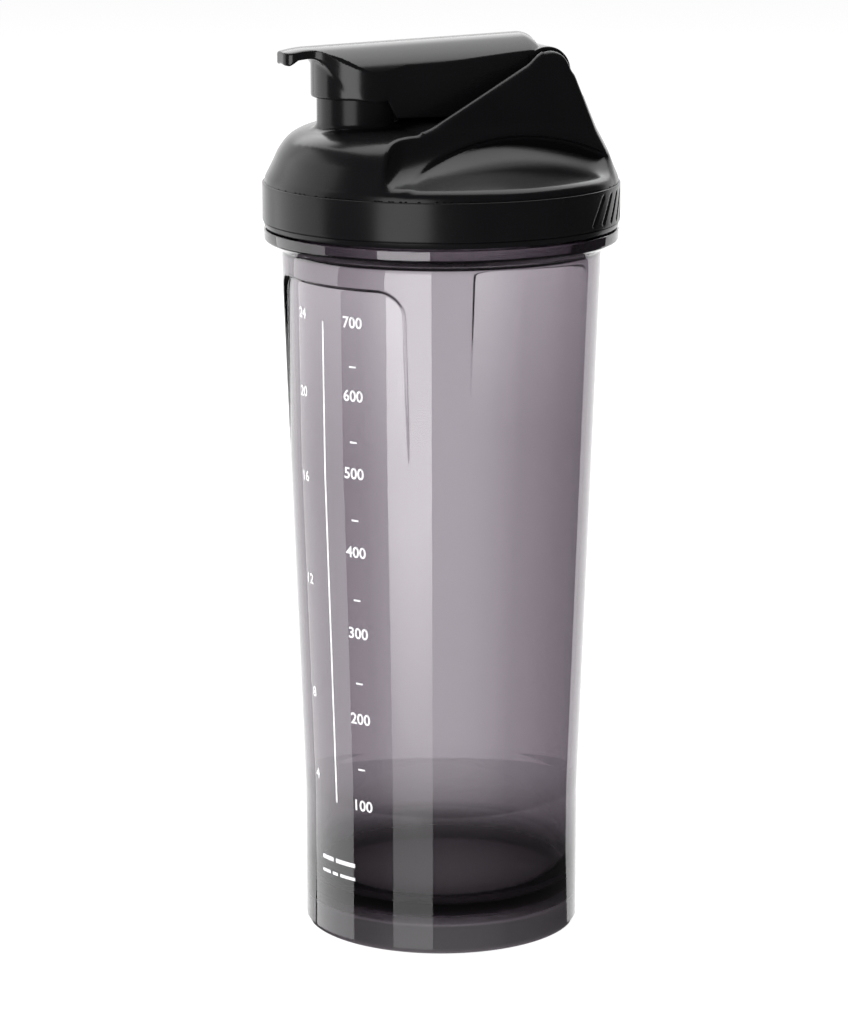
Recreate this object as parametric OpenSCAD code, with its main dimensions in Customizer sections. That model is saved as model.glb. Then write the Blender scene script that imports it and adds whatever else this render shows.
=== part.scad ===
// Protein shaker bottle: tapered translucent cup, screw lid with a drinking spout,
// and a flip cap that swings on a pin between the two wings at the back of the lid.
// Origin: centre of the base, on the surface it stands on. +Z up, spout towards -X.

/* [Cup] */
// Height of the cup's rim above the table
rim_z = 204.6; // [200:0.2:204.6]
// Outer radius of the cup at its foot
foot_r = 37.7; // [36.5:0.1:38]
// Outer radius of the cup just below its flange
shoulder_r = 43.2; // [42:0.1:43.4]
// Height of the inside of the floor above the table
floor_z = 12; // [9:0.5:14]
// Wall thickness of the cup
cup_wall = 2.2; // [1.8:0.1:2.4]
// Outer radius of the flange that the lid closes down to
flange_r = 47.9; // [47:0.1:48]
// Depth of the two scale panels at their top edge
panel_depth = 0.9; // [0.4:0.1:1.2]
// Direction of the middle of the first scale panel, seen from above
panel_turn = -158; // [-180:1:180]

/* [Lid] */
// Outer radius of the lid's band
band_r = 48.2; // [48:0.1:49]
// Wall thickness of the lid
lid_wall = 2.2; // [1.8:0.1:2.4]
// Height of the thumb shelves on both sides
shelf_z = 208.7; // [208.2:0.1:209.5]
// Height of the crest that the flip cap swings on
crest_z = 241.2; // [240.5:0.1:241.5]
// Number of slanted grip grooves round the back of the band
grip_count = 17; // [5:2:21]

/* [Spout] */
// Distance of the spout from the lid's axis
spout_x = 23.3; // [22.8:0.1:23.6]
// Outer radius of the spout
spout_r = 11.3; // [11:0.1:11.4]
// Radius of the bore that is drunk through
spout_bore_r = 8.8; // [7.5:0.1:9.2]
// Height of the spout's rim
spout_top = 236; // [235:0.1:236.2]

/* [Flip cap] */
// Half width of the cap over the spout
cap_half_w = 13; // [12.8:0.1:13.5]
// Half width of the cap between the wings
heel_half_w = 11.4; // [10.8:0.1:11.5]
// Half width of the finger tab
tab_half_w = 5; // [4:0.1:6]
// Thickness of the cap's plate
plate_t = 3; // [2.4:0.1:3.4]

/* [Thread] */
// Rise of the screw thread in one turn
lead = 7; // [6.5:0.1:7.5]
// Gap between the two threads, front to front
thread_gap = 0.5; // [0.4:0.05:0.6]

/* [Hidden] */
$fn = 96;
eps = 0.01;

// Cup: foot, wall and flange heights and radii
foot_z = 38;
heel = 1;
shoulder_z = 187.3;
flange_low_z = 188.8;
flange_top_z = 193.4;
neck_r = 42.9;
bore_r = 40.4;
inner_round = 10;
panel_top_z = 182;
panel_low_z = 131;
panel_span = 70;
panel_corner = 7;

// Thread: two starts, the lid's half a pitch above the cup's
ridge_h = 1.2;
ridge_root_w = 1.7;
ridge_tip_w = 0.9;
thread_z = 196.4;
thread_turns = 0.85;
thread_steps = 60;
skirt_r = neck_r + ridge_h + thread_gap;

// Lid: the band's bottom edge, its two fine grooves, and the dome's outline
lid_low_z = 193.8;
edge_line_z = 195.4;
seam_z = 206;
seam_w = 0.5;
seam_depth = 0.5;
seal_z = rim_z + 1.8;
plug_ring_r = bore_r - 0.4;
plug_ring_wall = 2;
plug_ring_low_z = 200.4;
grid_seat_z = 201.4;
grid_lip = 1;
dome = [[47.7, 206.4], [46.7, 208.6], [45.3, 211.2], [43.8, 214.5], [41.5, 217.5],
        [38.9, 219.3], [36, 220.4], [33, 221], [29, 221.3], [0, 221.3]];
dome_inside = [[0, 203], [38, 203], [38, 206.4], [42.6, 209.4], [41.3, 213.4], [39.6, 215.6],
               [37.6, 217], [35, 218.2], [32.6, 218.8], [29, 219.1], [0, 219.1]];

// Hinge: the pin's axis, and the round ears and barrel about it
hinge_x = 26;
hinge_z = 235;
pin_r = 1.5;
pin_len = 28;
pin_play = 0.06;
ear_r = crest_z - hinge_z;
barrel_r = 7.4;
knuckle_r = 4.6;
side_play = 0.4;

// Fin: a steep cone about the lid's axis, trimmed by two wing planes and a front slope
cone_low = [44.5, 212.8];
cone_top = [34.8, 236.5];
front_slope = 26;
slope_drop = 5.4;
wing_half_w = 14.1;
wing_turn = 6.6;
wing_lean = 19.7;
front_wall_x = -26;
arch_x = 13;
arch_r = 62;
arch_top_z = 219.4;
arch_depth = 4;
pocket_floor_z = 223;
back_wall_z = 229;
back_wall = 2.6;

// Flip cap: crowned plate, tipped up towards the hinge
crown_r = 17;
crown_z = 243.4;
crown_tilt = 2.1;
tab_tip_x = -45.2;
heel_x = 22.4;
heel_top = [23, 246];
heel_end = [25, 242.2];
side_wall = 1.5;
side_wall_low_z = 224.3;
cup_skirt_r = 12.85;
cup_skirt_z = 229.2;
cup_bore_r = spout_r + 0.55;
cup_roof_z = spout_top + 1.6;

// Mixing grid
grid_r = plug_ring_r - plug_ring_wall - 0.2;
grid_t = 1.8;
grid_hole = 7;
grid_bar = 1.6;

// A ring of revolution from an outline given as [radius, height] points
module turned(outline) {
    rotate_extrude() polygon(outline);
}

// One helical ridge of a screw thread, tapering to nothing at both ends
module ridge(root_r, tip_r, low_z, start) {
    count = round(thread_turns * thread_steps);
    fade = 6;
    sink = tip_r > root_r ? -0.5 : 0.5;
    function grow(i) = max(0.05, min(1, i / fade, (count - i) / fade));
    function spot(r, turn, z) = [r * cos(turn), r * sin(turn), z];
    rings = [for (i = [0:count])
        let (turn = start + 360 * i / thread_steps)
        let (z = low_z + lead * i / thread_steps)
        let (tip = root_r + (tip_r - root_r) * grow(i))
        each [spot(root_r + sink, turn, z - ridge_root_w / 2),
              spot(tip, turn, z - ridge_tip_w / 2),
              spot(tip, turn, z + ridge_tip_w / 2),
              spot(root_r + sink, turn, z + ridge_root_w / 2)]];
    skin = [for (i = [0:count - 1], k = [0:3])
        let (a = 4 * i + k)
        let (b = 4 * i + (k + 1) % 4)
        each [[a, a + 4, b + 4], [a, b + 4, b]]];
    last = 4 * count;
    ends = [[0, 1, 2, 3], [last + 3, last + 2, last + 1, last]];
    all_faces = concat(skin, ends);
    inner = tip_r < root_r;
    polyhedron(rings, [for (f = all_faces) inner ? f : [for (k = [len(f) - 1:-1:0]) f[k]]]);
}

// Both starts of a thread
module thread(root_r, tip_r, low_z, start) {
    for (side = [0, 180])
        ridge(root_r, tip_r, low_z, start + side);
}

// Outer radius of the cup's tapered wall at a height
function wall_r(z) = foot_r + (shoulder_r - foot_r) * max(0, z - foot_z) / (shoulder_z - foot_z);

// Window through which one scale panel is sunk, drawn flat and then extruded outwards
module panel_window() {
    half = shoulder_r * sin(panel_span / 2);
    tall = panel_top_z - panel_low_z;
    corner = panel_corner;
    union() {
        translate([-half + corner, 0]) square([2 * (half - corner), tall]);
        translate([-half, 0]) square([2 * half, tall - corner]);
        for (side = [-1, 1])
            translate([side * (half - corner), tall - corner]) circle(corner);
    }
}

// A scale panel: the wall is cut back less and less down to where the panel runs out
module panel(turn) {
    rotate([0, 0, turn])
        intersection() {
            turned([[wall_r(panel_low_z), panel_low_z], [shoulder_r + 2, panel_low_z],
                    [shoulder_r + 2, panel_top_z], [wall_r(panel_top_z) - panel_depth, panel_top_z]]);
            translate([0, 0, panel_low_z])
                rotate([90, 0, 90])
                linear_extrude(60) panel_window();
        }
}

module cup() {
    color([0.45, 0.43, 0.47, 0.5])
    difference() {
        union() {
            turned([[0, 0], [foot_r - heel, 0], [foot_r, heel], [foot_r, foot_z], [shoulder_r, shoulder_z],
                    [flange_r - 2.6, flange_low_z], [flange_r, flange_low_z + 1.8],
                    [flange_r, flange_top_z - 0.3], [flange_r - 0.3, flange_top_z],
                    [neck_r, flange_top_z], [neck_r, rim_z - 0.5], [neck_r - 0.5, rim_z], [0, rim_z]]);
            thread(neck_r, neck_r + ridge_h, thread_z, 0);
        }
        // The inside, with its rounded bottom corner
        turned([[0, floor_z], [foot_r - cup_wall - inner_round, floor_z],
                for (a = [-75:15:0])
                    [foot_r - cup_wall - inner_round + inner_round * cos(a),
                     floor_z + inner_round + inner_round * sin(a)],
                [foot_r - cup_wall, foot_z], [wall_r(shoulder_z) - cup_wall, shoulder_z],
                [bore_r, shoulder_z + 6], [bore_r, rim_z + 1], [0, rim_z + 1]]);
        // The hollow under the floor
        turned([[0, -1], [foot_r - 2.6, -1], [foot_r - 2.6, floor_z - 4.5],
                [foot_r - 5, floor_z - cup_wall], [0, floor_z - cup_wall]]);
        for (side = [0, 180])
            panel(panel_turn + side);
    }
}

// Everything on the outer side of one wing plane, moved inwards by "inset"
module beyond_wing(side, inset) {
    mirror([0, side < 0 ? 0 : 1, 0])
        translate([hinge_x, -wing_half_w, crest_z])
        rotate([0, 0, wing_turn])
        rotate([-wing_lean, 0, 0])
        translate([-90, -80 + inset, -90]) cube([180, 80, 180]);
}

// What is cut from one side of the dome: the wing's face, and the thumb shelf under its arch
module scoop(side, grow) {
    front = front_wall_x - grow;
    floor_h = shelf_z - grow;
    intersection() {
        beyond_wing(side, grow);
        translate([front, -60, floor_h]) cube([120, 120, 60]);
    }
    intersection() {
        beyond_wing(side, arch_depth + grow);
        translate([front + 3, -60, floor_h]) cube([120, 120, 60]);
        translate([arch_x, 60, arch_top_z - arch_r + grow])
            rotate([90, 0, 0]) cylinder(h = 120, r = arch_r);
    }
}

// Height of the wings' front slope above a place along the lid
function slope_z(x) = hinge_z + slope_drop / cos(front_slope) + (x - hinge_x) * tan(front_slope);

// Outer shape of the fin, before the pocket between its wings is cut
module fin() {
    front_x = -14;
    difference() {
        intersection() {
            turned([[0, 208], [cone_low[0] + 1.4, 208], cone_low, cone_top,
                    [cone_top[0] - 3, crest_z + 2], [0, crest_z + 2]]);
            translate([0, 60, 0]) rotate([90, 0, 0]) linear_extrude(120) {
                polygon([[front_x, 208], [front_x, slope_z(front_x)], [hinge_x - 2, slope_z(hinge_x - 2)],
                         [hinge_x, hinge_z], [60, hinge_z], [60, 208]]);
                translate([hinge_x, hinge_z]) circle(ear_r);
            }
        }
        for (side = [-1, 1])
            beyond_wing(side, 0);
    }
}

// The pocket between the wings, open at the top and the front
module pocket() {
    difference() {
        intersection() {
            union() {
                turned([[0, pocket_floor_z], [cone_low[0] - 7.6, pocket_floor_z],
                        [cone_top[0] + 3.1 - back_wall, back_wall_z], [0, back_wall_z]]);
                translate([-60, -60, back_wall_z - eps]) cube([120, 120, 30]);
            }
            translate([-16, -60, pocket_floor_z]) cube([80, 120, 60]);
        }
        for (side = [-1, 1])
            beyond_wing(side, lid_wall);
    }
}

// Bosses on the inside of the wings that carry the pin
module bosses() {
    inner = heel_half_w + side_play;
    for (side = [-1, 1])
        mirror([0, side < 0 ? 0 : 1, 0])
            translate([hinge_x, -inner, hinge_z]) rotate([90, 0, 0]) cylinder(h = 3, r = 3.2);
}

// Slanted grip grooves, centred on the hinge side
module grips() {
    step = 6.3;
    for (i = [0:grip_count - 1])
        rotate([0, 0, (i - (grip_count - 1) / 2) * step])
            translate([band_r, 0, (edge_line_z + seam_z) / 2])
            rotate([-35, 0, 0]) cube([1.1, 1.1, 9.4], center = true);
}

module lid() {
    color([0.05, 0.05, 0.055])
    union() {
        difference() {
            union() {
                // Band, bead and dome
                turned(concat([[40, lid_low_z], [band_r - 0.5, lid_low_z], [band_r - 0.3, edge_line_z],
                               [band_r, edge_line_z], [band_r, seam_z - seam_w],
                               [band_r - seam_depth, seam_z - seam_w],
                               [band_r - seam_depth, seam_z]], dome, [[0, 200], [40, 200]]));
                fin();
                translate([-spout_x, 0, 215]) cylinder(h = spout_top - 215, r = spout_r);
            }
            for (side = [-1, 1])
                scoop(side, 0);
            difference() {
                pocket();
                bosses();
                translate([-spout_x, 0, 200]) cylinder(h = 60, r = spout_r);
            }
            grips();
            // Inside of the skirt, and the space above the cup's mouth
            turned([[0, lid_low_z - 1], [skirt_r, lid_low_z - 1], [skirt_r, seal_z], [0, seal_z]]);
            difference() {
                turned(dome_inside);
                for (side = [-1, 1])
                    scoop(side, lid_wall);
            }
            // Drinking bore, and the hole for the hinge pin
            translate([-spout_x, 0, 212]) cylinder(h = 40, r = spout_bore_r);
            translate([hinge_x, pin_len / 2, hinge_z]) rotate([90, 0, 0]) cylinder(h = pin_len, r = pin_r);
        }
        // Ring that plugs the cup's mouth and holds the mixing grid on its lip
        turned([[plug_ring_r - plug_ring_wall - grid_lip, plug_ring_low_z],
                [plug_ring_r - 0.5, plug_ring_low_z],
                [plug_ring_r, plug_ring_low_z + 0.8], [plug_ring_r, seal_z + 0.4],
                [plug_ring_r - plug_ring_wall, seal_z + 0.4], [plug_ring_r - plug_ring_wall, grid_seat_z],
                [plug_ring_r - plug_ring_wall - grid_lip, grid_seat_z]]);
        thread(skirt_r, skirt_r - ridge_h, thread_z + lead / 4, 0);
    }
}

module lid_gasket() {
    color([0.2, 0.2, 0.21])
    turned([[plug_ring_r + 0.3, rim_z + 0.3], [plug_ring_r + 0.6, rim_z], [skirt_r - 0.7, rim_z],
            [skirt_r - 0.4, rim_z + 0.3], [skirt_r - 0.4, seal_z - 0.3], [skirt_r - 0.7, seal_z],
            [plug_ring_r + 0.6, seal_z], [plug_ring_r + 0.3, seal_z - 0.3]]);
}

module mixing_grid() {
    pitch = grid_hole + grid_bar;
    reach = 4;
    color([0.1, 0.1, 0.11])
    translate([0, 0, grid_seat_z])
    union() {
        linear_extrude(grid_t) difference() {
            circle(grid_r);
            for (i = [-reach:reach], j = [-reach:reach])
                if (pitch * norm([abs(i) + 0.45, abs(j) + 0.45]) < grid_r - 2)
                    translate([i * pitch, j * pitch]) square(grid_hole, center = true);
        }
        linear_extrude(3) difference() {
            circle(grid_r);
            circle(grid_r - 1.6);
        }
    }
}

// Half width of the flip cap's plate at a distance along it
function blend(t) = (1 - cos(180 * max(0, min(1, t)))) / 2;
function plate_half_w(x) =
    x < -20
        ? tab_half_w + (cap_half_w - tab_half_w) * blend((x + 39) / 17)
        : cap_half_w + (heel_half_w - cap_half_w) * blend((x + 8) / 34);

// Plan outline of the flip cap, with a rounded tab
module plate_plan() {
    tip = 3;
    steps = 36;
    straight = [for (i = [0:steps])
        let (x = tab_tip_x + tip + (heel_x - tab_tip_x - tip) * i / steps)
        [x, plate_half_w(x)]];
    corner = [for (a = [0:15:75]) [tab_tip_x + tip - tip * cos(a), tab_half_w - tip + tip * sin(a)]];
    half = concat(corner, straight);
    polygon(concat(half, [for (i = [len(half) - 1:-1:0]) [half[i][0], -half[i][1]]]));
}

// The crown's surface: a long cylinder tipped up towards the hinge, lowered by "drop"
module crown(drop) {
    translate([-spout_x, 0, crown_z - crown_r - drop])
        rotate([0, 90 - crown_tilt, 0])
        translate([0, 0, -60]) cylinder(h = 140, r = crown_r);
}

// An outline in the XZ plane, extruded to both sides of the middle
module slab(half_w) {
    translate([0, half_w, 0]) rotate([90, 0, 0]) linear_extrude(2 * half_w) children();
}

// Barrel that turns on the pin, and the sloping heel that joins it to the plate
module heel_outline() {
    translate([hinge_x, hinge_z]) circle(knuckle_r);
    intersection() {
        translate([hinge_x, hinge_z]) circle(barrel_r);
        translate([hinge_x - 20, hinge_z - 1]) square([40, 20]);
    }
    polygon([[12, 239], [12, 247], heel_top, heel_end, [hinge_x, heel_end[1]], [hinge_x, hinge_z],
             [21, hinge_z]]);
}

module flip_cap() {
    color([0.05, 0.05, 0.055])
    difference() {
        union() {
            // Crowned plate
            intersection() {
                translate([0, 0, 225]) linear_extrude(30) plate_plan();
                difference() {
                    crown(0);
                    crown(plate_t);
                }
            }
            // Skirt that closes over the spout
            intersection() {
                translate([-spout_x, 0, cup_skirt_z]) cylinder(h = 20, r = cup_skirt_r);
                crown(0.4);
            }
            intersection() {
                slab(heel_half_w) heel_outline();
                crown(0);
            }
            // Walls under both sides of the plate, from the spout back to the hinge
            intersection() {
                translate([0, 0, 220]) linear_extrude(40) difference() {
                    plate_plan();
                    offset(delta = -side_wall) plate_plan();
                }
                slab(20) polygon([[-spout_x, 242], [-spout_x, cup_skirt_z], [-19.6, cup_skirt_z],
                                  [-17, side_wall_low_z], [6, side_wall_low_z],
                                  [20.5, hinge_z - 4], [20.5, 242]]);
                crown(1);
            }
        }
        translate([-spout_x, 0, cup_skirt_z - 1])
            cylinder(h = cup_roof_z - cup_skirt_z + 1, r = cup_bore_r);
        translate([-spout_x, 0, cup_roof_z - 1]) cylinder(h = 3.4, r = 2.5);
        translate([hinge_x, 20, hinge_z]) rotate([90, 0, 0]) cylinder(h = 40, r = pin_r + pin_play);
    }
}

module spout_plug() {
    color([0.25, 0.25, 0.26])
    translate([-spout_x, 0, 0])
    difference() {
        turned([[0, spout_top - 4], [spout_bore_r - 1.2, spout_top - 4], [spout_bore_r - 0.5, spout_top - 3],
                [spout_bore_r - 0.5, spout_top], [cup_bore_r - 0.1, spout_top],
                [cup_bore_r - 0.1, cup_roof_z],
                [2.45, cup_roof_z], [2.45, cup_roof_z + 2.2], [0, cup_roof_z + 2.2]]);
        translate([0, 0, spout_top - 5]) cylinder(h = 4.4, r = spout_bore_r - 2.6);
    }
}

module hinge_pin() {
    color("silver")
    translate([hinge_x, pin_len / 2, hinge_z]) rotate([90, 0, 0]) cylinder(h = pin_len, r = pin_r);
}

cup();
lid();
lid_gasket();
mixing_grid();
flip_cap();
spout_plug();
hinge_pin();
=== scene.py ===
import math

import bmesh
import bpy
import numpy as np
from mathutils import Matrix, Vector


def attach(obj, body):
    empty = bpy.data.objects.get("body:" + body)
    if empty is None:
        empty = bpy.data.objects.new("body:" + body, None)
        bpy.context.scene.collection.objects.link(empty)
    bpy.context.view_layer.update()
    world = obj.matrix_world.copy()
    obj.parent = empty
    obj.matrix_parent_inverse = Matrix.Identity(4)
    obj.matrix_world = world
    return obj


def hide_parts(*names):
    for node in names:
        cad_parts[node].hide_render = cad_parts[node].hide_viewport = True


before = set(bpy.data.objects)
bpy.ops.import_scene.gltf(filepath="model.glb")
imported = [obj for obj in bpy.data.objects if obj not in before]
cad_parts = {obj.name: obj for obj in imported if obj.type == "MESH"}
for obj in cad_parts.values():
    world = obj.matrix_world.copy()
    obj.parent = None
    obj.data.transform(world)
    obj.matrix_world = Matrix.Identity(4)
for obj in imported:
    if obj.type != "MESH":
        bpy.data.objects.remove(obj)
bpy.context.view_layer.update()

# ---------------------------------------------------------------------------------------------
# Sizes, in millimetres, in the part's own frame: +Z up, spout towards -X, hinge at +X
# ---------------------------------------------------------------------------------------------
MM = 0.001

# Cup: the wall, then the sunk panels, with angles in degrees about Z
FOOT_R, FOOT_Z = 37.7, 38.0
SHOULDER_R, SHOULDER_Z = 43.2, 187.3
WALL = 2.2
FLOOR_Z = 12.0
PANEL_TURN, PANEL_HALF, PANEL_LOW, PANEL_TOP = -158.0, 24.8, 131.0, 182.0
PANEL_CORNER, PANEL_DEPTH, PANEL_EDGE, PANEL_EDGE_TURN = 7.0, 1.25, 0.85, 29.7

# Neck of the cup and the ridges of its screw thread
NECK_R, NECK_LOW, NECK_TOP, MOUTH_R = 42.9, 194.6, 203.9, 40.4
THREAD_Z, THREAD_RISE, THREAD_TURNS = 196.4, 7.0, 0.85
RIDGE_H, RIDGE_HALF_W, RIDGE_FLANK = 1.2, 0.9, 0.4

# Lid: the band with its slanted grip grooves
BAND_R, SKIRT_R = 48.2, 44.6
LID_LOW, EDGE_LINE, SHELL_LOW = 193.8, 195.4, 205.5
GROOVE_STEP, GROOVE_COUNT, GROOVE_HALF_W, GROOVE_DEPTH = 6.3, 17, 0.6, 0.55
GROOVE_LEAN, GROOVE_Z, GROOVE_REACH = math.radians(36), 200.6, 3.4

# Thumb shelf, the arch over it, the wing's flat face and the wings' sloping upper edge
SHELF_Z, SHELF_RISE, SHELF_EDGE_R = 208.7, 0.28, 46.7
SCOOP_X, SCOOP_Y, SCOOP_LEAN = -25.5, 31, 0.8
ARCH_X, ARCH_Z, ARCH_R = 13, 157.4, 62
WING_NORMAL, WING_POINT = (0.1082, 0.9353, 0.3371), (26, 14.1, 241.2)
FIN_SLOPE, FIN_LIFT, FIN_FRONT_X = math.radians(26), 5.4, -14

# Spout at -SPOUT_X, hinge, and the bosses that hold the pin
SPOUT_X, SPOUT_R, SPOUT_TOP, BORE_R = 23.3, 11.3, 236.0, 8.8
HINGE_X, HINGE_Z, PIN_R = 26.0, 235.0, 1.5
EAR_R, BOSS_R, BOSS_Y = 5.8, 3.2, 11.8
LID_WALL = 2.2

# Flip cap: its crowned plate with the tab, then what is under it
CAP_TILT, CROWN_R, CROWN_AXIS_Z = math.radians(2.1), 17, 226.4
TAB_HALF_W, CAP_HALF_W, HEEL_HALF_W = 5.0, 13.0, 11.4
TAB_CORNER_X, TAB_CORNER_Y, TAB_CORNER_R, PLATE_END_X = -42.2, 2.0, 3.0, 22.6
CAP_SKIRT_R, CAP_SKIRT_LOW, CAP_BORE_R, CAP_BORE_TOP = 12.85, 229.2, 11.85, 237.6
RECESS_R, RECESS_TOP = 2.5, 240.2
BARREL_R, CORE_R, CAP_WALL = 6.8, 4.6, 1.4


# ---------------------------------------------------------------------------------------------
# Shape functions: signed distances in mm, negative inside
# ---------------------------------------------------------------------------------------------
def join(a, b, k=0.0):
    """Union, with its inner corner filled over a width of about k."""
    if k <= 0:
        return np.minimum(a, b)
    h = np.maximum(k - np.abs(a - b), 0) / k
    return np.minimum(a, b) - h * h * k * 0.25


def meet(a, b, k=0.0):
    """Intersection, with its outer corner rounded over a width of about k."""
    return -join(-a, -b, k)


def cut(a, b, k=0.0):
    """a without b."""
    return meet(a, -b, k)


def outline_distance(r, z, points):
    """Signed distance in the (r, z) plane to a closed outline."""
    best = np.full(np.broadcast(r, z).shape, 1e9)
    inside = np.zeros(best.shape, bool)
    for (ar, az), (br, bz) in zip(points, points[1:] + points[:1]):
        dr, dz = br - ar, bz - az
        t = np.clip(((r - ar) * dr + (z - az) * dz) / max(dr * dr + dz * dz, 1e-12), 0, 1)
        best = np.minimum(best, (r - ar - t * dr) ** 2 + (z - az - t * dz) ** 2)
        if az != bz:
            crosses = (az > z) != (bz > z)
            inside ^= crosses & (r < ar + (z - az) / dz * dr)
    best = np.sqrt(best)
    return np.where(inside, -best, best)


def smooth_line(points, parts=8):
    """A Catmull-Rom curve through the points."""
    p = np.array([points[0]] + list(points) + [points[-1]], float)
    out = []
    for a, b, c, d in zip(p, p[1:], p[2:], p[3:]):
        for t in np.arange(parts) / parts:
            out.append(0.5 * (2 * b + (c - a) * t + (2 * a - 5 * b + 4 * c - d) * t * t
                              + (3 * b - a - 3 * c + d) * t ** 3))
    out.append(p[-1])
    return [tuple(float(v) for v in q) for q in out]


class Turned:
    """Distance to a solid of revolution. Many points are read from a fine table."""

    def __init__(self, points, step=0.2):
        self.points, self.step = points, step
        r = np.array([q[0] for q in points])
        z = np.array([q[1] for q in points])
        self.low = (-1.0, z.min() - 60)
        self.count = (int((r.max() + 45) / step), int((z.max() - z.min() + 120) / step))
        rr = self.low[0] + step * np.arange(self.count[0])
        zz = self.low[1] + step * np.arange(self.count[1])
        self.table = outline_distance(rr[:, None], zz[None, :], points)

    def __call__(self, x, y, z):
        r = np.sqrt(x * x + y * y)
        if r.size < 400000:
            return outline_distance(r, z, self.points)
        fr = np.clip((r - self.low[0]) / self.step, 0, self.count[0] - 1.001)
        fz = np.clip((z - self.low[1]) / self.step, 0, self.count[1] - 1.001)
        i, j = fr.astype(int), fz.astype(int)
        u, v = fr - i, fz - j
        t = self.table
        return ((t[i, j] * (1 - u) + t[i + 1, j] * u) * (1 - v)
                + (t[i, j + 1] * (1 - u) + t[i + 1, j + 1] * u) * v)


def surface_net(field, low, high, step):
    """Points and quads of a field's zero surface, each point then moved onto the surface."""
    axes = [np.arange(a, b + step, step) for a, b in zip(low, high)]
    grid = np.meshgrid(*axes, indexing="ij")
    d = field(*grid)
    n = d.shape
    total = [np.zeros([k - 1 for k in n]) for _ in range(3)]
    count = np.zeros([k - 1 for k in n])
    edges = []
    for axis in range(3):
        head = [slice(None)] * 3
        tail = [slice(None)] * 3
        head[axis], tail[axis] = slice(0, -1), slice(1, None)
        a, b = d[tuple(head)], d[tuple(tail)]
        crossing = (a < 0) != (b < 0)
        t = np.where(crossing, a / np.where(crossing, a - b, 1), 0)
        edges.append((crossing, a < 0))
        place = [np.where(crossing, g[tuple(head)], 0) for g in grid]
        place[axis] = place[axis] + t * step
        others = [k for k in range(3) if k != axis]
        for du in (0, 1):
            for dv in (0, 1):
                pick = [slice(None)] * 3
                pick[others[0]] = slice(du, du + n[others[0]] - 1)
                pick[others[1]] = slice(dv, dv + n[others[1]] - 1)
                pick = tuple(pick)
                count += crossing[pick]
                for k in range(3):
                    total[k] += place[k][pick]
    used = count > 0
    index = np.full(used.shape, -1)
    index[used] = np.arange(used.sum())
    points = np.stack([t[used] / count[used] for t in total], 1)
    faces = []
    for axis in range(3):
        crossing, starts_inside = edges[axis]
        u, v = (axis + 1) % 3, (axis + 2) % 3
        where = np.argwhere(crossing)
        keep = (where[:, u] > 0) & (where[:, v] > 0) & (where[:, u] < n[u] - 1) & (where[:, v] < n[v] - 1)
        where = where[keep]
        corners = []
        for du, dv in ((-1, -1), (0, -1), (0, 0), (-1, 0)):
            w = where.copy()
            w[:, u] += du
            w[:, v] += dv
            corners.append(index[w[:, 0], w[:, 1], w[:, 2]])
        quad = np.stack(corners, 1)
        flip = ~starts_inside[where[:, 0], where[:, 1], where[:, 2]]
        quad[flip] = quad[flip][:, ::-1]
        faces.append(quad)
    faces = np.concatenate(faces)
    for _ in range(4):
        value, slope = value_and_slope(field, points)
        move = -value[:, None] * slope / np.maximum((slope ** 2).sum(1), 0.05)[:, None]
        size = np.sqrt((move ** 2).sum(1))
        points = points + move * np.minimum(1, 0.5 * step / np.maximum(size, 1e-9))[:, None]
    _, slope = value_and_slope(field, points)
    return points, faces, slope / np.maximum(np.sqrt((slope ** 2).sum(1)), 1e-9)[:, None]


def value_and_slope(field, p, h=0.04):
    """A field's value and gradient at points, from differences over 2 h."""
    value = field(p[:, 0], p[:, 1], p[:, 2])
    slope = []
    for k in range(3):
        a, b = p.copy(), p.copy()
        a[:, k] += h
        b[:, k] -= h
        slope.append((field(*a.T) - field(*b.T)) / (2 * h))
    return value, np.stack(slope, 1)


# ---------------------------------------------------------------------------------------------
# Meshes
# ---------------------------------------------------------------------------------------------
def add_piece(name, points, faces, body, material, normals=None):
    """A mesh piece from points in mm, riding on a body."""
    mesh = bpy.data.meshes.new(name)
    mesh.from_pydata([tuple(q) for q in (np.asarray(points) * MM).tolist()], [],
                     [tuple(f) for f in (faces.tolist() if isinstance(faces, np.ndarray) else faces)])
    mesh.validate()
    mesh.polygons.foreach_set("use_smooth", [True] * len(mesh.polygons))
    if normals is not None and len(mesh.vertices) == len(normals):
        mesh.normals_split_custom_set_from_vertices([tuple(v) for v in normals.tolist()])
    mesh.update()
    piece = bpy.data.objects.new(name, mesh)
    bpy.context.scene.collection.objects.link(piece)
    mesh.materials.append(material)
    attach(piece, body)
    return piece


def rounded(corners, parts=5):
    """A line through corners (r, z, fillet radius), with its corners rounded off."""
    out = []
    for i, (r, z, fillet) in enumerate(corners):
        if fillet <= 0 or i in (0, len(corners) - 1):
            out.append((r, z))
            continue
        here = np.array((r, z))
        a = np.array(corners[i - 1][:2]) - here
        b = np.array(corners[i + 1][:2]) - here
        la, lb = np.linalg.norm(a), np.linalg.norm(b)
        a, b = a / la, b / lb
        half = math.acos(max(-1, min(1, float(a @ b)))) / 2
        reach = min(fillet / math.tan(half), 0.49 * la, 0.49 * lb)
        for t in np.linspace(0, 1, parts + 1):
            # A quadratic curve from one side to the other
            out.append(tuple(here + a * reach * (1 - t) ** 2 + b * reach * t ** 2))
    return [(float(r), float(z)) for r, z in out]


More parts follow.
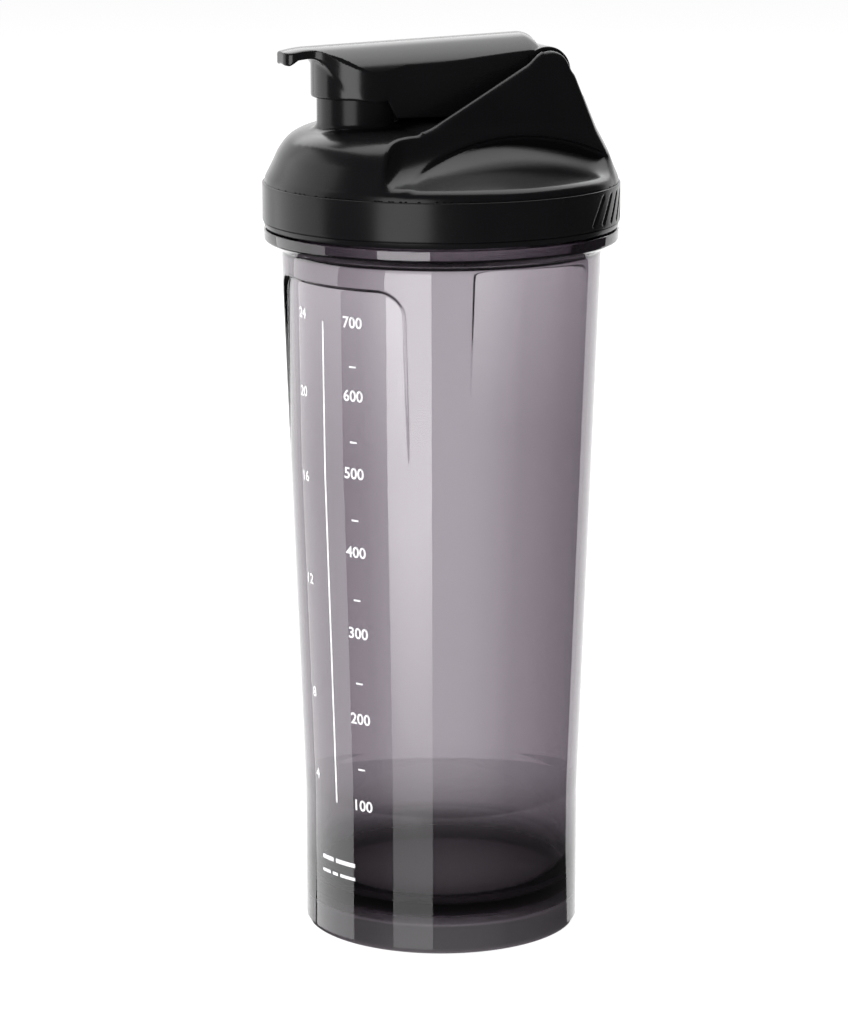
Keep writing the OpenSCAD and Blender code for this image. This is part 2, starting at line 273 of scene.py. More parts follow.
def lathe(line, turns, shift=None):
    """Points and quads of a line of (r, z) turned about Z through the given angles in degrees."""
    line = np.array(line)
    a = np.radians(turns)
    r = np.repeat(line[:, :1], len(a), 1)
    z = np.repeat(line[:, 1:], len(a), 1)
    turn = np.repeat(a[None, :], len(line), 0)
    if shift is not None:
        r = r + shift(r, z, turn)
    points = np.stack([r * np.cos(turn), r * np.sin(turn), z], 2).reshape(-1, 3)
    rows, cols = len(line), len(a)
    i, j = np.meshgrid(np.arange(rows - 1), np.arange(cols), indexing="ij")
    k = (j + 1) % cols
    faces = np.stack([i * cols + j, i * cols + k, (i + 1) * cols + k, (i + 1) * cols + j], 2)
    return points, faces.reshape(-1, 4)


def close_up(piece):
    """Welds doubled points, drops empty faces and points every face outwards."""
    mesh = bmesh.new()
    mesh.from_mesh(piece.data)
    bmesh.ops.remove_doubles(mesh, verts=mesh.verts, dist=1e-6)
    bmesh.ops.dissolve_degenerate(mesh, edges=mesh.edges, dist=1e-7)
    bmesh.ops.recalc_face_normals(mesh, faces=mesh.faces)
    mesh.to_mesh(piece.data)
    mesh.free()
    piece.data.polygons.foreach_set("use_smooth", [True] * len(piece.data.polygons))


# ---------------------------------------------------------------------------------------------
# Materials
# ---------------------------------------------------------------------------------------------
def new_material(name):
    """A node material with its nodes, its links and its shader."""
    material = bpy.data.materials.new(name)
    material.use_nodes = True
    nodes = material.node_tree.nodes
    links = material.node_tree.links
    shader = nodes["Principled BSDF"]
    return material, nodes, links, shader


def noise(nodes, links, scale, detail=2.0, stretch=(1, 1, 1)):
    """A noise value from 0 to 1, fixed to the piece."""
    place = nodes.new("ShaderNodeTexCoord")
    mapping = nodes.new("ShaderNodeMapping")
    mapping.inputs["Scale"].default_value = stretch
    texture = nodes.new("ShaderNodeTexNoise")
    texture.inputs["Scale"].default_value = scale
    texture.inputs["Detail"].default_value = detail
    links.new(place.outputs["Object"], mapping.inputs["Vector"])
    links.new(mapping.outputs["Vector"], texture.inputs["Vector"])
    return texture.outputs["Fac"]


def spread(nodes, links, value, low, high, out_low, out_high):
    """A value's range from low to high, mapped to out_low to out_high."""
    node = nodes.new("ShaderNodeMapRange")
    node.inputs["From Min"].default_value = low
    node.inputs["From Max"].default_value = high
    node.inputs["To Min"].default_value = out_low
    node.inputs["To Max"].default_value = out_high
    links.new(value, node.inputs["Value"])
    return node.outputs["Result"]


def colour_between(nodes, links, value, a, b):
    """The colour a where the value is 0, b where it is 1."""
    node = nodes.new("ShaderNodeMix")
    node.data_type = "RGBA"
    node.inputs[6].default_value = (*a, 1)
    node.inputs[7].default_value = (*b, 1)
    links.new(value, node.inputs[0])
    return node.outputs[2]


def add_bump(nodes, links, shader, value, strength, distance):
    """Lets a value tip the shader's normal."""
    node = nodes.new("ShaderNodeBump")
    node.inputs["Strength"].default_value = strength
    node.inputs["Distance"].default_value = distance
    links.new(value, node.inputs["Height"])
    links.new(node.outputs["Normal"], shader.inputs["Normal"])


def moulded_plastic(name, dark, light, rough, grain=0.00002, specular=0.5):
    """Moulded plastic with a fine spark-eroded grain and slight unevenness of colour and gloss."""
    material, nodes, links, shader = new_material(name)
    cloud = noise(nodes, links, 60, 3)
    fine = noise(nodes, links, 2600, 2)
    links.new(colour_between(nodes, links, cloud, dark, light), shader.inputs["Base Color"])
    links.new(spread(nodes, links, cloud, 0.3, 0.7, rough[0], rough[1]), shader.inputs["Roughness"])
    shader.inputs["Specular IOR Level"].default_value = specular
    add_bump(nodes, links, shader, fine, 0.6, grain)
    return material


def smoke_plastic():
    """Clear moulded plastic, dyed through: a volume takes the light, so thick places are dark."""
    material, nodes, links, shader = new_material("smoke_cup")
    shader.inputs["Transmission Weight"].default_value = 1.0
    shader.inputs["IOR"].default_value = 1.5

    # Light that passes at a slant is darkened a little: painted shade towards the cup's outline
    facing = nodes.new("ShaderNodeLayerWeight")
    facing.inputs["Blend"].default_value = 0.5
    outline_shade_mask = spread(nodes, links, facing.outputs["Facing"], 0.03, 0.17, 0.0, 1.0)
    outline_shade_tint = colour_between(nodes, links, outline_shade_mask, (1, 1, 1), (0.8, 0.78, 0.8))
    links.new(outline_shade_tint, shader.inputs["Base Color"])

    # The floor inside the cup is matt, the rest is polished; the floor's reflections are also dimmed to dark
    # grey, painted shade
    cloud = noise(nodes, links, 35, 3)
    gloss = spread(nodes, links, cloud, 0.3, 0.7, 0.0, 0.03)
    place = nodes.new("ShaderNodeTexCoord")
    apart = nodes.new("ShaderNodeSeparateXYZ")
    links.new(place.outputs["Object"], apart.inputs[0])
    across = nodes.new("ShaderNodeVectorMath")
    across.operation = "MULTIPLY"
    across.inputs[1].default_value = (1, 1, 0)
    links.new(place.outputs["Object"], across.inputs[0])
    away = nodes.new("ShaderNodeVectorMath")
    away.operation = "LENGTH"
    links.new(across.outputs[0], away.inputs[0])
    low = spread(nodes, links, apart.outputs["Z"], 0.0135, 0.019, 1.0, 0.0)
    inner = spread(nodes, links, away.outputs["Value"], 0.0353, 0.0356, 1.0, 0.0)
    matt_and_shaded_floor = nodes.new("ShaderNodeMath")
    matt_and_shaded_floor.operation = "MULTIPLY"
    links.new(low, matt_and_shaded_floor.inputs[0])
    links.new(inner, matt_and_shaded_floor.inputs[1])
    rough = nodes.new("ShaderNodeMath")
    rough.operation = "MULTIPLY_ADD"
    links.new(matt_and_shaded_floor.outputs[0], rough.inputs[0])
    rough.inputs[1].default_value = 0.4
    links.new(gloss, rough.inputs[2])
    links.new(rough.outputs[0], shader.inputs["Roughness"])
    # Painted shade: the inner floor's reflections are tinted down to a dark grey
    painted_shade_on_floor = colour_between(nodes, links, matt_and_shaded_floor.outputs[0], (1, 1, 1), (0.12, 0.12, 0.12))
    links.new(painted_shade_on_floor, shader.inputs["Specular Tint"])

    ripple = noise(nodes, links, 24, 2, (1, 1, 0.25))
    add_bump(nodes, links, shader, ripple, 0.5, 0.00006)
    volume = nodes.new("ShaderNodeVolumeAbsorption")
    volume.inputs["Color"].default_value = (0.52, 0.478, 0.522, 1)
    volume.inputs["Density"].default_value = 540
    links.new(volume.outputs["Volume"], nodes["Material Output"].inputs["Volume"])
    return material


def brushed_steel():
    """Steel with fine lines drawn along the pin."""
    material, nodes, links, shader = new_material("pin_steel")
    lines = noise(nodes, links, 900, 2, (1, 0.05, 1))
    shader.inputs["Metallic"].default_value = 1.0
    links.new(colour_between(nodes, links, lines, (0.55, 0.55, 0.57), (0.68, 0.68, 0.7)),
              shader.inputs["Base Color"])
    links.new(spread(nodes, links, lines, 0.3, 0.7, 0.2, 0.35), shader.inputs["Roughness"])
    return material


BLACK_DYE = (0.004, 0.004, 0.0045), (0.006, 0.0058, 0.0065)
POLISHED_GRAIN = 0.000006
BLACK = moulded_plastic("black_shell", *BLACK_DYE, (0.2, 0.25), POLISHED_GRAIN, 0.13)
CAP_BLACK = moulded_plastic("black_cap", *BLACK_DYE, (0.16, 0.2), POLISHED_GRAIN, 0.24)
RUBBER = moulded_plastic("seal_rubber", (0.03, 0.03, 0.032), (0.045, 0.045, 0.048), (0.55, 0.7), 0.00004, 0.3)
GRID = moulded_plastic("grid_plastic", (0.02, 0.02, 0.021), (0.03, 0.03, 0.032), (0.4, 0.5))
INK = moulded_plastic("scale_print", (0.78, 0.77, 0.79), (0.9, 0.89, 0.91), (0.45, 0.55))
SMOKE = smoke_plastic()
STEEL = brushed_steel()


# ---------------------------------------------------------------------------------------------
# Cup
# ---------------------------------------------------------------------------------------------
def wall_r(z):
    """Radius of the outside of the wall at a height."""
    return FOOT_R + (SHOULDER_R - FOOT_R) * np.maximum(0, z - FOOT_Z) / (SHOULDER_Z - FOOT_Z)


def panel_depth(z, turn):
    """How far the outside of the wall is sunk at a height and an angle in radians."""
    depth = PANEL_DEPTH * np.clip((z - PANEL_LOW) / (PANEL_TOP - PANEL_LOW), 0, 1)
    out = np.zeros(np.broadcast(z, turn).shape)
    for side in (0, 180):
        away = turn - math.radians(PANEL_TURN + side)
        across = np.where(np.cos(away) > 0, np.abs(wall_r(z) * np.sin(away)), 99)
        u = across - (PANEL_HALF - PANEL_CORNER)
        v = z - (PANEL_TOP - PANEL_CORNER)
        edge = (np.sqrt(np.maximum(u, 0) ** 2 + np.maximum(v, 0) ** 2)
                + np.minimum(np.maximum(u, v), 0) - PANEL_CORNER)
        t = np.clip(-edge / PANEL_EDGE, 0, 1)
        out = np.maximum(out, depth * t * t * (3 - 2 * t))
    return out


def thread_height(z, turn):
    """The two ridges of the screw thread on the neck, tapered at both ends."""
    height = np.zeros(np.shape(z))
    for start in (0, math.pi):
        part = ((turn - start) / (2 * math.pi)) % 1.0
        off = np.abs(z - THREAD_Z - THREAD_RISE * part)
        taper = np.clip(part / 0.05, 0, 1) * np.clip((THREAD_TURNS - part) / 0.05, 0, 1)
        height = np.maximum(height, RIDGE_H * taper * np.clip((RIDGE_HALF_W - off) / RIDGE_FLANK, 0, 1))
    return height


def build_cup():
    inner = FOOT_R - WALL
    low = rounded([(0, 9.8, 0), (32.5, 9.8, 2.5), (35.1, 7.5, 1.5), (35.1, 0, 0.4), (FOOT_R - 0.5, 0, 0.5),
                   (FOOT_R, 1.2, 0.8), (FOOT_R, FOOT_Z, 0)])
    # Rows of the wall, close together at the panels' upper edge
    rows = list(np.linspace(FOOT_Z, PANEL_LOW, 16)[1:]) + list(np.linspace(PANEL_LOW, 173, 12)[1:])
    rows += list(np.arange(173.4, 183.2, 0.33)) + [184.5, 186.5]
    wall = [(float(wall_r(z)), float(z)) for z in rows]
    top = rounded([(float(wall_r(186.5)), 186.5, 0), (SHOULDER_R + 0.2, 188.2, 1.4), (45.2, 188.9, 0.8),
                   (47.9, 190.5, 1.0), (47.9, 193.4, 0.4), (NECK_R, 193.4, 0.3), (NECK_R, NECK_LOW, 0)], 7)
    neck = [(NECK_R, float(z)) for z in np.arange(NECK_LOW + 0.3, NECK_TOP, 0.3)]
    inside = rounded([(NECK_R, NECK_TOP, 0), (NECK_R, 204.6, 0.6),
                      (MOUTH_R, 204.6, 0.6), (MOUTH_R, 193.3, 3), (SHOULDER_R - WALL, SHOULDER_Z, 3),
                      (inner, FOOT_Z, 5), (inner, FLOOR_Z, 10), (0, FLOOR_Z, 0)], 7)
    line = low + wall + top[1:] + neck + inside

    # Upright lines, close together at the panels' sides
    dense = []
    for side in (0, 180):
        for edge in (-1, 1):
            middle = PANEL_TURN + side + edge * PANEL_EDGE_TURN
            dense += list(middle + np.arange(-7.5, 7.5, 0.36))
    base = np.arange(0, 360, 2.0)
    dense = np.array(dense) % 360
    far = np.min(np.abs((base[:, None] - dense[None, :] + 180) % 360 - 180), 1) > 0.5
    turns = np.sort(np.concatenate([base[far], dense]))

    def sink(r, z, turn):
        on_wall = (r > wall_r(z) - 0.5) & (z > PANEL_LOW) & (z < 184)
        on_neck = (np.abs(r - NECK_R) < 0.01) & (z > NECK_LOW + 0.1) & (z < NECK_TOP - 0.1)
        return np.where(on_wall, -panel_depth(z, turn), 0) + np.where(on_neck, thread_height(z, turn), 0)

    points, faces = lathe(line, turns, sink)
    piece = add_piece("cup_body", points, faces, "cup", SMOKE)
    close_up(piece)
    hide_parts("cup")


# ---------------------------------------------------------------------------------------------
# Lid
# ---------------------------------------------------------------------------------------------
# Outlines (r, z) of the dome, of the cone that holds the wings, of the hollow and of the rear pocket
DOME_LINE = smooth_line([(47.62, 206.1), (47.3, 207.4), (46.5, 209.0), (45.3, 211.4), (43.8, 214.5),
                         (41.5, 217.5), (38.9, 219.3), (36, 220.4), (33, 221), (29, 221.3), (20, 221.5)])
DOME = Turned([(47.62, 205)] + DOME_LINE + [(0, 221.5), (-5, 221.5), (-5, 205)])
CONE = Turned([(-5, 206.1), (46.2, 206.1), (44.5, 212.8), (34.8, 236.5), (31.9, 243.6), (-5, 243.6)])
INSIDE = Turned([(-5, 200), (38, 200), (38, 206.4), (42.6, 209.4), (41.3, 213.4), (39.6, 215.6), (37.6, 217),
                 (35, 218.2), (32.6, 218.8), (29, 219.1), (-5, 219.1)])
POCKET_BACK = Turned([(-5, 223), (37.4, 223), (35.3, 229), (60, 229), (60, 260), (-5, 260)])


def wing(x, y, z):
    """Distance outwards from a wing's face."""
    return (WING_NORMAL[0] * (x - WING_POINT[0]) + WING_NORMAL[1] * (np.abs(y) - WING_POINT[1])
            + WING_NORMAL[2] * (z - WING_POINT[2]))


def scoop(x, y, z):
    """What is cut from each side: the wing's face, and the thumb shelf under its arch."""
    front = -(x - SCOOP_X + SCOOP_LEAN * (np.abs(y) - SCOOP_Y)) / 1.28
    face = wing(x, y, z)
    floor = (SHELF_Z - z + SHELF_RISE * (SHELF_EDGE_R - np.sqrt(x * x + y * y))) * 0.96
    arch = np.sqrt((x - ARCH_X) ** 2 + (z - ARCH_Z) ** 2) - ARCH_R
    upper = meet(meet(-face, floor, 6), front, 3)
    lower = meet(meet(meet(-face - 4, floor, 10), front, 4), arch, 1.2)
    return join(upper, lower, 1.4)


def lid_field(x, y, z):
    """The lid above its band: dome, wings, spout, and what is hollow in them."""
    ridge_z = HINGE_Z + FIN_LIFT / math.cos(FIN_SLOPE) + (x - HINGE_X) * math.tan(FIN_SLOPE)
    front_slope = (z - ridge_z) * math.cos(FIN_SLOPE)
    hinge_d = np.sqrt((x - HINGE_X) ** 2 + (z - HINGE_Z) ** 2)
    ear = hinge_d - EAR_R
    below = meet(np.maximum(front_slope, FIN_FRONT_X - x), np.where(x > HINGE_X - 2, z - HINGE_Z, -9.0), 0)
    profile = join(below, ear, 2.0)
    face = wing(x, y, z)
    fin = meet(meet(CONE(x, y, z), profile, 1.2), face, 1.6)
    shell = join(DOME(x, y, z), fin, 2.5)
    hollow = scoop(x, y, z)
    shell = cut(shell, hollow, 1.2)
    spout_d = np.sqrt((x + SPOUT_X) ** 2 + y ** 2)
    spout = meet(meet(spout_d - SPOUT_R, z - SPOUT_TOP, 0.9), 212 - z)
    shell = join(shell, spout, 2.2)
    pocket = meet(meet(face + LID_WALL, POCKET_BACK(x, y, z), 1.5), -16 - x, 1.0)
    boss = np.maximum(hinge_d - BOSS_R, BOSS_Y - np.abs(y))
    shell = cut(shell, cut(cut(pocket, boss, 0.5), spout_d - SPOUT_R, 0.5), 0.8)
    cavity = meet(INSIDE(x, y, z), LID_WALL - hollow, 1.0)
    shell = cut(shell, cavity, 0.6)
    shell = cut(shell, spout_d - BORE_R, 0.6)
    return np.maximum(shell, SHELL_LOW - z)


def build_lid():
    points, faces, normals = surface_net(lid_field, (-48.6, -48.6, 204.9), (48.6, 48.6, 242.2), 0.6)
    shell = add_piece("lid_shell", points, faces, "lid", BLACK, normals)
    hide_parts("lid")

    # Band with its lower edge line, seam and slanted grip grooves
    outer = rounded([(SKIRT_R, LID_LOW + 0.2, 0), (SKIRT_R + 0.2, LID_LOW, 0.2), (BAND_R - 0.7, LID_LOW, 0.5),
                     (BAND_R - 0.3, EDGE_LINE - 0.1, 0.1), (BAND_R - 0.6, EDGE_LINE, 0),
                     (BAND_R - 0.6, EDGE_LINE + 0.1, 0), (BAND_R - 0.02, EDGE_LINE + 0.25, 0.15),
                     (BAND_R, 196.2, 0)], 4)
    outer += [(BAND_R, float(z)) for z in np.arange(196.5, 204.9, 0.35)]
    outer += rounded([(BAND_R, 205.0, 0), (BAND_R, 205.8, 0.3), (BAND_R - 0.5, 205.85, 0),
                      (BAND_R - 0.9, 206.0, 0), (SKIRT_R, 206.2, 0)], 4)
    outer += [(SKIRT_R, LID_LOW + 0.2)]

    def groove(r, z, turn):
        out = np.zeros(z.shape)
        angle = (np.degrees(turn) + 180) % 360 - 180
        for i in range(GROOVE_COUNT):
            at = (i - (GROOVE_COUNT - 1) / 2) * GROOVE_STEP
            shift = (z - GROOVE_Z) * math.tan(GROOVE_LEAN)
            across = (BAND_R * np.radians(angle - at) - shift) * math.cos(GROOVE_LEAN)
            along = np.abs(z - GROOVE_Z) - GROOVE_REACH
            d = np.sqrt(np.maximum(along, 0) ** 2 + across ** 2)
            out = np.maximum(out, GROOVE_DEPTH * np.clip(1 - (d / GROOVE_HALF_W) ** 2, 0, 1))
        return np.where(r > BAND_R - 0.1, -out, 0)

    points, faces = lathe(outer, np.arange(0, 360, 0.45), groove)
    band = add_piece("lid_band", points, faces, "lid", BLACK)
    close_up(band)

    # Ring that plugs the cup's mouth
    ring = rounded([(37, 200.4, 0), (39.5, 200.4, 0.3), (40, 201.2, 0.3), (40, 206.8, 0), (38, 206.8, 0),
                    (38, 201.4, 0), (37, 201.4, 0), (37, 200.4, 0)], 3)
    points, faces = lathe(ring, np.arange(0, 360, 2.5))
    close_up(add_piece("lid_plug_ring", points, faces, "lid", BLACK))


# ---------------------------------------------------------------------------------------------
# Flip cap
# ---------------------------------------------------------------------------------------------
def ease(t):
    """A soft step from 0 to 1."""
    t = np.clip(t, 0, 1)
    return (1 - np.cos(np.pi * t)) / 2


def plate_half_w(x):
    """Half the cap's width, narrow at the tab and a little narrower at the hinge."""
    front = TAB_HALF_W + (CAP_HALF_W - TAB_HALF_W) * ease((x + 39) / 17)
    back = CAP_HALF_W - (CAP_HALF_W - HEEL_HALF_W) * ease((x + 8) / 34)
    return np.where(x < -20, front, back)


def droop(x):
    """The tab bends down a little towards its tip."""
    return 0.9 * np.clip((-38 - x) / 7.2, 0, 1.3) ** 2


def cap_field(x, y, z):
    """The flip cap: plate with its tab, skirt and bore over the spout, side walls, heel and barrel."""
    fall = droop(x) + 0.1 * np.clip(x - 21.5, 0, 5) ** 2
    rise = (z + fall - CROWN_AXIS_Z) - (x + SPOUT_X) * math.tan(CAP_TILT)
    crown = np.sqrt(y * y + (rise * math.cos(CAP_TILT)) ** 2) - CROWN_R
    crown = np.where(rise > 0, crown, -CROWN_R)
    side = (np.abs(y) - plate_half_w(x)) * 0.92
    tip = np.sqrt(np.maximum(TAB_CORNER_X - x, 0) ** 2
                  + np.maximum(np.abs(y) - TAB_CORNER_Y, 0) ** 2) - TAB_CORNER_R
    side = np.maximum(side, np.where(x < TAB_CORNER_X, tip, -9))
    plan = meet(side, x - PLATE_END_X, 0)
    thick = 2.3 + 1.1 * np.clip((-41.6 - x) / 2.2, 0, 1) + 0.7 * np.clip((x + 36) / 4, 0, 1)
    plate = meet(meet(crown, plan, 0.6), -(crown + thick), 0.9)
    hub = np.sqrt((x - HINGE_X) ** 2 + (z - HINGE_Z) ** 2)
    spot = np.sqrt((x + SPOUT_X) ** 2 + y * y)
    skirt = meet(meet(spot - CAP_SKIRT_R, CAP_SKIRT_LOW - z, 0.9), crown + 0.5, 0)
    body = meet(join(plate, skirt, 2.6), crown, 0)
    slant = ((x - 23.6) * 4 + (z - 245)) / math.hypot(4, 1)
    heel = np.maximum(np.maximum(slant, 12 - x), HINGE_Z - z)
    heel = meet(heel, crown, 0)
    heel = join(heel, np.maximum(hub - BARREL_R, HINGE_Z - 1 - z), 0)
    heel = join(heel, hub - CORE_R, 0)
    heel = meet(heel, np.abs(y) - HEEL_HALF_W, 0.5)
    wall_low = np.interp(x, (-19.6, -17, 6, 20.5), (CAP_SKIRT_LOW, 224.3, 224.3, 231))
    walls = meet(meet(side, -(side + CAP_WALL), 0.4), (wall_low - z) * 0.5, 0.3)
    walls = np.maximum(walls, np.maximum(np.maximum(x - 20.5, -SPOUT_X - x), crown + 0.6))
    body = join(join(body, walls, 0.3), heel, 0)
    bore = meet(spot - CAP_BORE_R, z - CAP_BORE_TOP, 0)
    recess = meet(spot - RECESS_R, z - RECESS_TOP, 0)
    body = cut(body, join(bore, recess, 0), 0.4)
    return cut(body, hub - PIN_R - 0.06, 0.2)


def build_cap():
    points, faces, normals = surface_net(cap_field, (-45.8, -13.6, 222.9), (33.2, 13.6, 245.8), 0.36)
    cap = add_piece("flip_cap_shell", points, faces, "flip", CAP_BLACK, normals)
    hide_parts("flip_cap")


# ---------------------------------------------------------------------------------------------
# Printed scale: heights in mm of each number, angles in degrees about Z
# ---------------------------------------------------------------------------------------------
INK_LOW, INK_HIGH = 0.02, 0.06
ML_HEIGHTS = {700: 170.6, 600: 151.0, 500: 130.1, 400: 108.6, 300: 86.2, 200: 62.3, 100: 37.8}
OZ_HEIGHTS = {24: 172.8, 20: 151.6, 16: 128.5, 12: 100.1, 8: 68.3, 4: 45.2}
ML_LIFT = 1.9
LINE_LOW, LINE_LENGTH, LABEL_Z = 39, 133, 20
ML_TURN, OZ_TURN, LINE_TURN = -144.2, -172.3, -158.7


def on_wall(u, v, turn, z, lift):
    """Points of the cup's outside: u mm to the right of an angle as seen from outside, v mm above z."""
    height = z + v
    angle = math.radians(turn) + u / wall_r(height)
    r = wall_r(height) - panel_depth(height, angle) + lift
    return np.stack([r * np.cos(angle), r * np.sin(angle), height], -1)


def add_print(name, points, faces, turn, z):
    """A flat print, given as points (u, v) and faces, laid on the wall as a thin layer of ink."""
    p = np.array(points, float)
    outer = on_wall(p[:, 0], p[:, 1], turn, z, INK_HIGH)
    inner = on_wall(p[:, 0], p[:, 1], turn, z, INK_LOW)
    n = len(p)
    edges = dict.fromkeys((a, b) for f in faces for a, b in zip(f, f[1:] + f[:1]))
    sides = [(a, b, b + n, a + n) for a, b in edges if (b, a) not in edges]
    all_faces = [tuple(f) for f in faces] + [tuple(i + n for i in f[::-1]) for f in faces]
    all_faces += [s[::-1] for s in sides]
    piece = add_piece(name, np.concatenate([outer, inner]), all_faces, "cup", INK)
    close_up(piece)


def bars(rects, step=1.2):
    """Points and faces of upright rectangles (u0, v0, u1, v1), split so that they follow the wall."""
    points, faces = [], []
    for u0, v0, u1, v1 in rects:
        nu = max(1, math.ceil((u1 - u0) / step))
        nv = max(1, math.ceil((v1 - v0) / 3))
        base = len(points)
        for j in range(nv + 1):
            for i in range(nu + 1):
                points.append((u0 + (u1 - u0) * i / nu, v0 + (v1 - v0) * j / nv))
        for j in range(nv):
            for i in range(nu):
                a = base + j * (nu + 1) + i
                faces.append([a, a + 1, a + nu + 2, a + nu + 1])
    return points, faces


def number(text, size, bold):
    """Points and faces of a number, centred on the origin."""
    curve = bpy.data.curves.new("number", "FONT")
    curve.body = text
    curve.size = size
    curve.align_x = "CENTER"
    curve.align_y = "CENTER"
    curve.offset = bold
    curve.resolution_u = 3
    holder = bpy.data.objects.new("number", curve)
    bpy.context.scene.collection.objects.link(holder)
    bpy.context.view_layer.update()
    flat = bpy.data.meshes.new_from_object(holder.evaluated_get(bpy.context.evaluated_depsgraph_get()))
    mesh = bmesh.new()
    mesh.from_mesh(flat)
    bmesh.ops.remove_doubles(mesh, verts=mesh.verts, dist=1e-4)
    points = [(v.co.x, v.co.y) for v in mesh.verts]
    faces = []
    for f in mesh.faces:
        f.normal_update()
        ids = [v.index for v in f.verts]
        faces.append(ids if f.normal.z >= 0 else ids[::-1])
    mesh.free()
    bpy.data.objects.remove(holder)
    bpy.data.curves.remove(curve)
    bpy.data.meshes.remove(flat)
    return points, faces


def build_scale():
    for value, z in ML_HEIGHTS.items():
        points, faces = number(str(value), 4.3, 0.08)
        add_print(f"scale_ml_{value}", points, faces, ML_TURN, z + ML_LIFT)
    for value, z in OZ_HEIGHTS.items():
        points, faces = number(str(value), 4.0, 0.1)
        add_print(f"scale_oz_{value}", points, faces, OZ_TURN, z)
    heights = sorted(ML_HEIGHTS.values())
    ticks = [(a + b) / 2 for a, b in zip(heights, heights[1:])]
    for i, z in enumerate(ticks):
        points, faces = bars([(-1.1, -0.25, 1.1, 0.25)])
        add_print(f"scale_tick_{i}", points, faces, ML_TURN, z)
    points, faces = bars([(-0.3, 0, 0.3, LINE_LENGTH)])
    add_print("scale_line", points, faces, LINE_TURN, LINE_LOW)

    # A generic mark in place of the label: plain bars, no lettering
    points, faces = bars([(-6.8, 1.8, -1.6, 3.0), (-0.6, 1.8, 6.8, 3.0), (-6.8, -1.9, -3.0, -1.0),
                          (-2.0, -1.9, 0.2, -1.0), (1.2, -1.9, 6.8, -1.0)])
    add_print("plain_label", points, faces, LINE_TURN, LABEL_Z)


# ---------------------------------------------------------------------------------------------
# Stage
# ---------------------------------------------------------------------------------------------
CAMERA_TURN = -20.0
CAMERA_AWAY, CAMERA_UP, CAMERA_DOWN = 1.02185, 0.33628, 12.25


def turned_place(azimuth, distance, height):
    """A place in metres, from an angle about the bottle, a distance from its axis and a height."""
    a = math.radians(azimuth)
    return (distance * math.cos(a), distance * math.sin(a), height)


def softbox(name, azimuth, distance, height, width, tall, radiance, tip=0, fade=None):
    """A soft light that faces the bottle, its top tipped over it by some degrees.

    With fade = (from, to, share at from, share at to) its radiance changes along its height.
    """
    data = bpy.data.lights.new(name, "AREA")
    data.shape = "RECTANGLE"
    data.size = width
    data.size_y = tall
    data.energy = radiance * math.pi * width * tall
    if fade:
        data.use_nodes = True
        nodes, links = data.node_tree.nodes, data.node_tree.links
        on_light = nodes.new("ShaderNodeNewGeometry")
        apart = nodes.new("ShaderNodeSeparateXYZ")
        links.new(on_light.outputs["Parametric"], apart.inputs[0])
        share = spread(nodes, links, apart.outputs["Y"], *fade)
        links.new(share, nodes["Emission"].inputs["Strength"])
    light = bpy.data.objects.new(name, data)
    bpy.context.scene.collection.objects.link(light)
    place = Vector(turned_place(azimuth, distance, height))
    facing = Vector((place.x, place.y, 0)).to_track_quat("Z", "Y").to_matrix().to_4x4()
    light.matrix_world = Matrix.Translation(place) @ facing @ Matrix.Rotation(math.radians(-tip), 4, "X")
    light.visible_camera = False
    light.visible_transmission = False
    return light


def build_camera(scene):
    camera_data = bpy.data.cameras.new("camera")
    camera_data.sensor_fit = "VERTICAL"
    camera_data.sensor_height = 24
    camera_data.lens = 89.41
    camera_data.shift_x = -0.0169
    camera = bpy.data.objects.new("camera", camera_data)
    scene.collection.objects.link(camera)
    camera.matrix_world = (Matrix.Rotation(math.radians(CAMERA_TURN), 4, "Z")
                           @ Matrix.Translation((0, -CAMERA_AWAY, CAMERA_UP))
                           @ Matrix.Rotation(math.radians(90 - CAMERA_DOWN), 4, "X"))
    scene.camera = camera


def build_floor():
    bpy.ops.mesh.primitive_plane_add(size=12, location=(0, 0, 0))
    floor = bpy.context.object
    floor.name = "floor"
    material, nodes, links, shader = new_material("floor")
    shader.inputs["Base Color"].default_value = (0.2, 0.2, 0.2, 1)
    shader.inputs["Roughness"].default_value = 0.9
    shader.inputs["Specular IOR Level"].default_value = 0
    shader.inputs["Emission Color"].default_value = (1, 1, 1, 1)
    shader.inputs["Emission Strength"].default_value = 0.95
    floor.data.materials.append(material)
    floor.visible_glossy = False
    floor.visible_shadow = False


def build_shade():
    """The shade under and behind the bottle, which shows through its dyed foot."""
    bpy.ops.mesh.primitive_circle_add(vertices=64, radius=0.16, fill_type="NGON", location=(0, 0, 0.0002))
    shade = bpy.context.object
    shade.name = "floor_shade"
    material, nodes, links, shader = new_material("floor_shade")
    place = nodes.new("ShaderNodeTexCoord")
    away = nodes.new("ShaderNodeVectorMath")
    away.operation = "LENGTH"
    links.new(place.outputs["Object"], away.inputs[0])
    shader.inputs["Base Color"].default_value = (0, 0, 0, 1)
    shader.inputs["Specular IOR Level"].default_value = 0
    shader.inputs["Emission Color"].default_value = (1, 1, 1, 1)
    tone = nodes.new("ShaderNodeMapRange")
    tone.interpolation_type = "SMOOTHSTEP"
    tone.inputs["From Min"].default_value = 0.045
    tone.inputs["From Max"].default_value = 0.159
    tone.inputs["To Min"].default_value = 0.12
    tone.inputs["To Max"].default_value = 0.98
    links.new(away.outputs["Value"], tone.inputs["Value"])
    links.new(tone.outputs["Result"], shader.inputs["Emission Strength"])
    shade.data.materials.append(material)
    shade.visible_camera = False
    shade.visible_glossy = False
    shade.visible_diffuse = False
    shade.visible_shadow = False


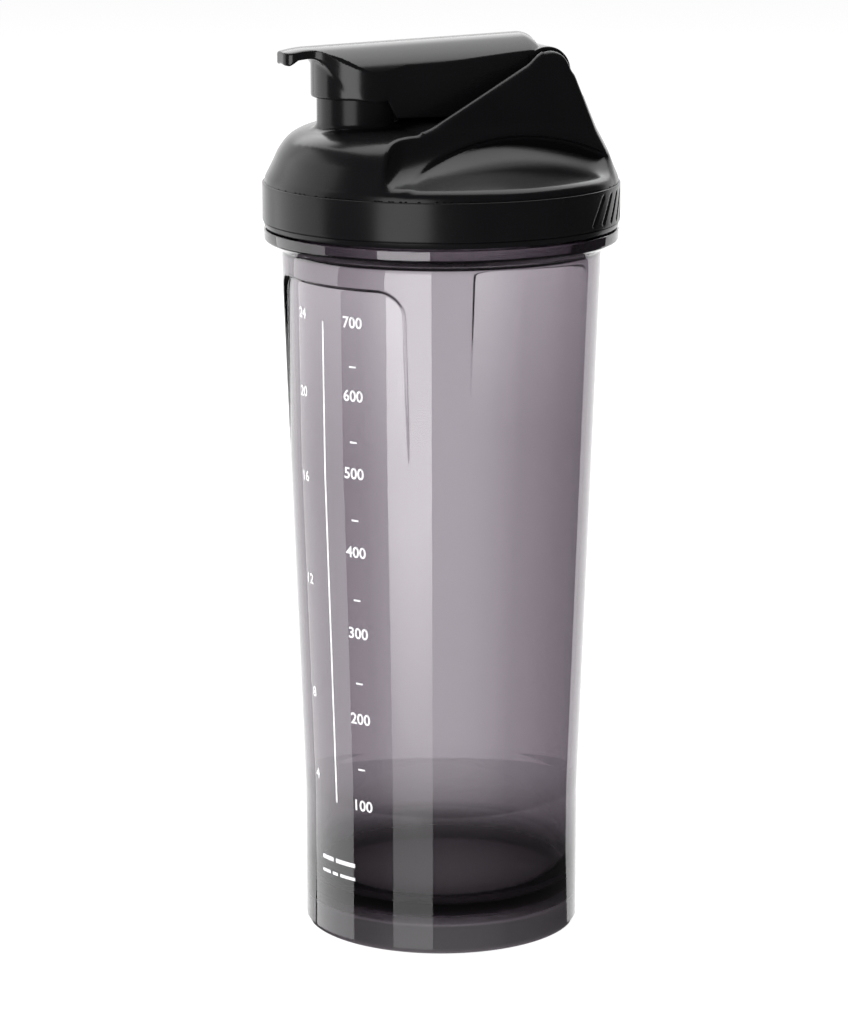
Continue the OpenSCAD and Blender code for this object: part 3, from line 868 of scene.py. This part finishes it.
def build_world(scene):
    """White surroundings for what is seen straight or through the cup, dim ones for reflections."""
    world = bpy.data.worlds.new("world")
    scene.world = world
    world.use_nodes = True
    nodes, links = world.node_tree.nodes, world.node_tree.links
    back = nodes["Background"]
    path = nodes.new("ShaderNodeLightPath")
    seen = nodes.new("ShaderNodeMath")
    seen.operation = "MAXIMUM"
    links.new(path.outputs["Is Camera Ray"], seen.inputs[0])
    links.new(path.outputs["Is Transmission Ray"], seen.inputs[1])
    strength = nodes.new("ShaderNodeMapRange")
    strength.inputs["To Min"].default_value = 0.06
    strength.inputs["To Max"].default_value = 1.04
    links.new(seen.outputs[0], strength.inputs["Value"])
    links.new(strength.outputs["Result"], back.inputs["Strength"])
    back.inputs["Color"].default_value = (1, 1, 1, 1)


def build_lights():
    camera_azimuth = CAMERA_TURN - 90
    softbox("softbox_key", camera_azimuth - 24, distance=1.9, height=-0.1, width=1.16, tall=2.0,
            radiance=6.0, fade=(0.24, 0.33, 0.3, 1.0))
    softbox("softbox_side", camera_azimuth - 106, distance=1.9, height=0.3, width=1.9, tall=2.6,
            radiance=2.5)
    softbox("softbox_back", camera_azimuth + 180, distance=1.9, height=0.5, width=4.2, tall=2.8,
            radiance=1.4)
    softbox("softbox_top", camera_azimuth + 180, distance=0.95, height=1.62, width=2.4, tall=2.4,
            radiance=5.2, tip=58, fade=(0.3, 0.7, 0.5, 1.0))


def build_stage():
    scene = bpy.context.scene
    scene.view_settings.view_transform = "Standard"
    build_camera(scene)
    build_floor()
    build_shade()
    build_world(scene)
    build_lights()


# ---------------------------------------------------------------------------------------------
# The bottle and its stage
# ---------------------------------------------------------------------------------------------
build_cup()
build_lid()
build_cap()
build_scale()

# Pieces that are shown as the CAD has them; the closed bottle hides most of them
CAD_LOOKS = {"lid_gasket": RUBBER, "spout_plug": RUBBER, "mixing_grid": GRID, "hinge_pin": STEEL}
for node, material in CAD_LOOKS.items():
    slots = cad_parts[node].data.materials
    slots.clear()
    slots.append(material)

build_stage()
